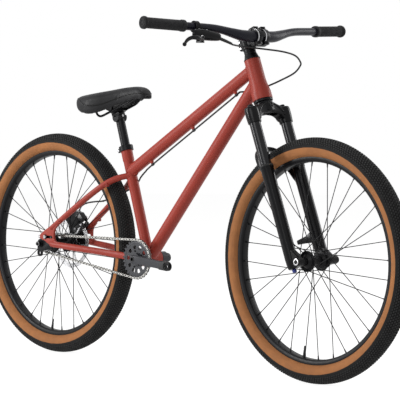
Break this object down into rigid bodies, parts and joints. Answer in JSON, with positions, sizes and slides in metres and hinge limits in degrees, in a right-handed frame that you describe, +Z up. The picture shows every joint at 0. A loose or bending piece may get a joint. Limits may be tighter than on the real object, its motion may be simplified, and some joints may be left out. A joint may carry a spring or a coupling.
{
  "type": "hardtail mountain bike",
  "caption": "Hardtail mountain bike of the dirt-jump type: steel frame, suspension fork, single-speed chain drive, rear disc brake, low sloping saddle, cranks with bare pedal eyes.",
  "frame": {"origin": "on the ground under the middle of the bike, between the two hubs", "axes": "+X forward, +Y to the rider's left, +Z up"},
  "size_m": [1.755, 0.7996, 0.9992],
  "materials": {
    "frame_paint": "satin brick red paint",
    "fork_paint": "gloss black paint",
    "black_alloy": "satin black anodised",
    "bar_alloy": "satin blue-black",
    "stanchion_alloy": "smooth black anodised",
    "crank_alloy": "dark grey, satin",
    "spoke_steel": "black oxide",
    "silver_steel": "bright plated",
    "black_plastic": "matte black",
    "hose_plastic": "smooth black",
    "knob_blue": "dark blue anodised",
    "tyre_rubber": "black tread, tan sidewall",
    "grip_rubber": "matte black",
    "saddle_vinyl": "black synthetic leather over foam"
  },
  "bodies": {
    "frame": {"head_tube": "frame_paint", "top_tube": "frame_paint", "down_tube": "frame_paint", "seat_tube": "frame_paint", "bottom_bracket_shell": "frame_paint", "right_chainstay": "frame_paint", "left_chainstay": "frame_paint", "right_seatstay": "frame_paint", "left_seatstay": "frame_paint", "right_dropout": "frame_paint", "left_dropout": "frame_paint", "right_axle_slider": "black_alloy", "left_axle_slider": "black_alloy", "right_slider_bolt": "silver_steel", "left_slider_bolt": "silver_steel", "right_tension_screw": "silver_steel", "left_tension_screw": "silver_steel", "rear_axle": "spoke_steel", "seat_collar": "black_alloy", "bottom_bracket": "black_alloy", "upper_headset_cup": "black_alloy", "lower_headset_cup": "black_alloy", "frame_hose": "hose_plastic", "chain": "silver_steel", "brake_caliper": "fork_paint"},
    "inner_pad": {"inner_brake_pad": "silver_steel"},
    "outer_pad": {"outer_brake_pad": "silver_steel"},
    "post": {"seatpost": "stanchion_alloy"},
    "saddle": {"saddle_clamp": "black_alloy", "saddle_rails": "spoke_steel", "saddle_base": "black_plastic", "saddle_cover": "saddle_vinyl"},
    "steering": {"fork_crown": "fork_paint", "right_stanchion": "stanchion_alloy", "left_stanchion": "stanchion_alloy", "headset_cover": "black_alloy", "stem": "black_alloy", "stem_faceplate": "black_alloy", "handlebar": "bar_alloy", "right_grip": "grip_rubber", "left_grip": "grip_rubber", "brake_master_cylinder": "fork_paint", "front_hose": "hose_plastic"},
    "lever": {"brake_lever": "black_alloy"},
    "lowers": {"fork_lowers": "fork_paint", "front_axle": "black_alloy"},
    "knob": {"rebound_knob": "knob_blue"},
    "front_wheel": {"front_hub": "black_alloy", "front_spokes": "spoke_steel", "front_rim": "black_alloy", "front_tyre": "tyre_rubber"},
    "rear_wheel": {"rear_hub": "black_alloy", "rear_spokes": "spoke_steel", "rear_rim": "black_alloy", "rear_tyre": "tyre_rubber", "brake_rotor": "silver_steel"},
    "sprocket": {"rear_sprocket": "silver_steel"},
    "crankset": {"right_crank": "crank_alloy", "left_crank": "crank_alloy", "chainring": "crank_alloy"}
  },
  "joints": [
    {"name": "steering_turn", "type": "hinge", "parent": "frame", "child": "steering", "pos_m": [0.33753, 0, 0.76927], "axis": [-0.3584, 0, 0.9336], "range_deg": [-80, 80], "deforming": ["front_hose"]},
    {"name": "fork_compress", "type": "slide", "parent": "steering", "child": "lowers", "axis": [-0.3584, 0, 0.9336], "range_m": [0, 0.1], "stiffness_N_per_m": 5000, "springref_m": -0.03},
    {"name": "rebound_turn", "type": "hinge", "parent": "lowers", "child": "knob", "pos_m": [0.51873, -0.063, 0.31396], "axis": [-0.3584, 0, 0.9336], "range_deg": [-180, 180]},
    {"name": "front_wheel_spin", "type": "hinge", "parent": "lowers", "child": "front_wheel", "pos_m": [0.5395, 0, 0.338], "axis": [0, 1, 0], "continuous": true},
    {"name": "rear_wheel_spin", "type": "hinge", "parent": "frame", "child": "rear_wheel", "pos_m": [-0.5395, 0, 0.338], "axis": [0, 1, 0], "continuous": true},
    {"name": "crank_spin", "type": "hinge", "parent": "frame", "child": "crankset", "pos_m": [-0.1285, 0, 0.3105], "axis": [0, 1, 0], "continuous": true},
    {"name": "sprocket_spin", "type": "hinge", "parent": "frame", "child": "sprocket", "pos_m": [-0.5395, 0, 0.338], "axis": [0, 1, 0], "continuous": true},
    {"name": "lever_pull", "type": "hinge", "parent": "steering", "child": "lever", "pos_m": [0.33001, -0.234, 0.93905], "axis": [0, 0, -1], "range_deg": [0, 25], "stiffness_Nm_per_rad": 0.15, "springref_deg": -28.65},
    {"name": "inner_pad_press", "type": "slide", "parent": "frame", "child": "inner_pad", "axis": [0, 1, 0], "range_m": [0, 0.0004]},
    {"name": "outer_pad_press", "type": "slide", "parent": "frame", "child": "outer_pad", "axis": [0, -1, 0], "range_m": [0, 0.0004]},
    {"name": "seatpost_slide", "type": "slide", "parent": "frame", "child": "post", "axis": [-0.304, 0, 0.9527], "range_m": [-0.07, 0.05]},
    {"name": "saddle_tilt", "type": "hinge", "parent": "post", "child": "saddle", "pos_m": [-0.26532, 0, 0.7472], "axis": [0, 1, 0], "range_deg": [-10, 10]}
  ],
  "couplings": [
    {"joint": "sprocket_spin", "follows": "crank_spin", "ratio": 2.1538},
    {"joint": "inner_pad_press", "follows": "lever_pull", "m_per_rad": 0.0009},
    {"joint": "outer_pad_press", "follows": "lever_pull", "m_per_rad": 0.0009}
  ]
}
